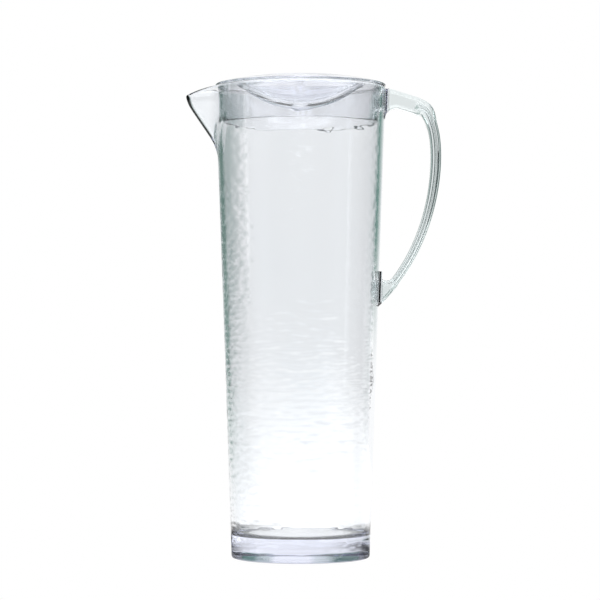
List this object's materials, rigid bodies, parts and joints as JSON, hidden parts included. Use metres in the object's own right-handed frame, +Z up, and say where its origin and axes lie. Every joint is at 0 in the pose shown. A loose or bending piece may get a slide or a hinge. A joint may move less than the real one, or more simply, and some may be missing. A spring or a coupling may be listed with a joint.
{
  "type": "plastic pitcher",
  "caption": "Tall slim tapered clear plastic pitcher with a hammered wall, thick base, V spout, bowed strap handle and a crowned lift-off lid with a skirt and finger scoops.",
  "frame": {"origin": "centre of the flat underside of the base", "axes": "+Z up along the jug's axis, the spout points along -X and the handle along +X"},
  "size_m": [0.1736, 0.116, 0.3292],
  "materials": {
    "clear_wall": "clear gloss, softly hammered outside",
    "clear_handle": "clear gloss, smooth",
    "clear_lid": "clear gloss, smooth, faintly violet"
  },
  "bodies": {
    "jug": {"jug_body": "clear_wall", "handle": "clear_handle"},
    "lid": {"lid": "clear_lid"}
  },
  "joints": [
    {"name": "lid_lift", "type": "slide", "parent": "jug", "child": "lid", "axis": [0, 0, 1], "range_m": [0, 0.12]}
  ]
}
